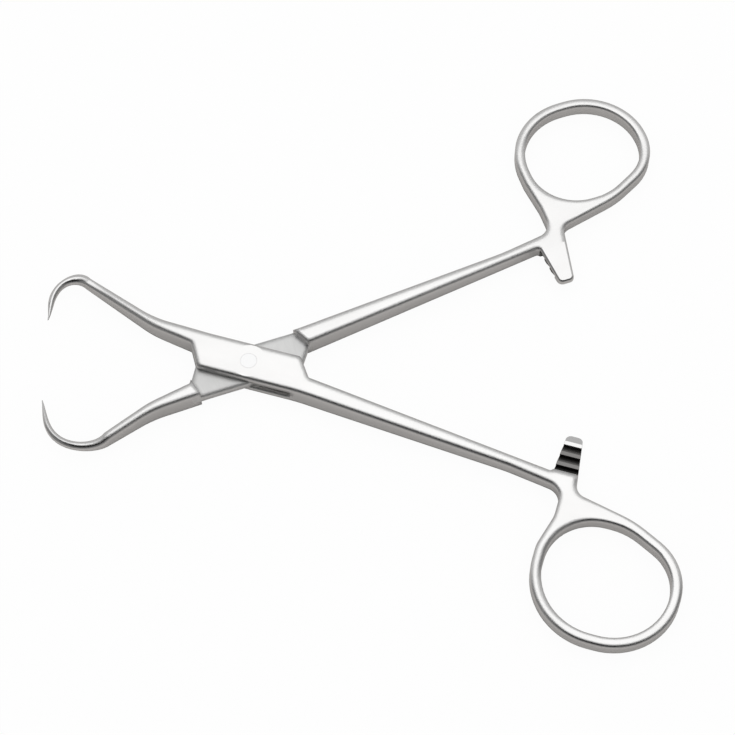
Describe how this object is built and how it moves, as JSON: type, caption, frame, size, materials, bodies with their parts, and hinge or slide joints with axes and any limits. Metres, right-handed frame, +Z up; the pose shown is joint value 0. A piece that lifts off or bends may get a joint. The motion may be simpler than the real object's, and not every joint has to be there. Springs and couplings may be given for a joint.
{
  "type": "towel clamp",
  "caption": "Box-lock towel clamp: two steel halves crossing at a riveted pin, with curved pointed claws, finger rings and a toothed ratchet, shown open.",
  "frame": {"origin": "on the pivot pin's axis, at the underside of the box, which is the plane that the clamp lies on", "axes": "+X along the middle of the open clamp towards the finger rings, +Y towards the male half's ring, +Z up along the pin, away from the table"},
  "size_m": [0.1223, 0.1238, 0.0046],
  "materials": {
    "forged_steel": "satin",
    "ground_steel": "fine ground",
    "pin_steel": "ground flush"
  },
  "bodies": {
    "female": {"female_half": "forged_steel", "pivot_pin": "pin_steel"},
    "male": {"male_half": "ground_steel"}
  },
  "joints": [
    {"name": "box_lock", "type": "hinge", "parent": "female", "child": "male", "pos_m": [0, 0, 0], "axis": [0, 0, 1], "range_deg": [-35.5, 16]}
  ]
}
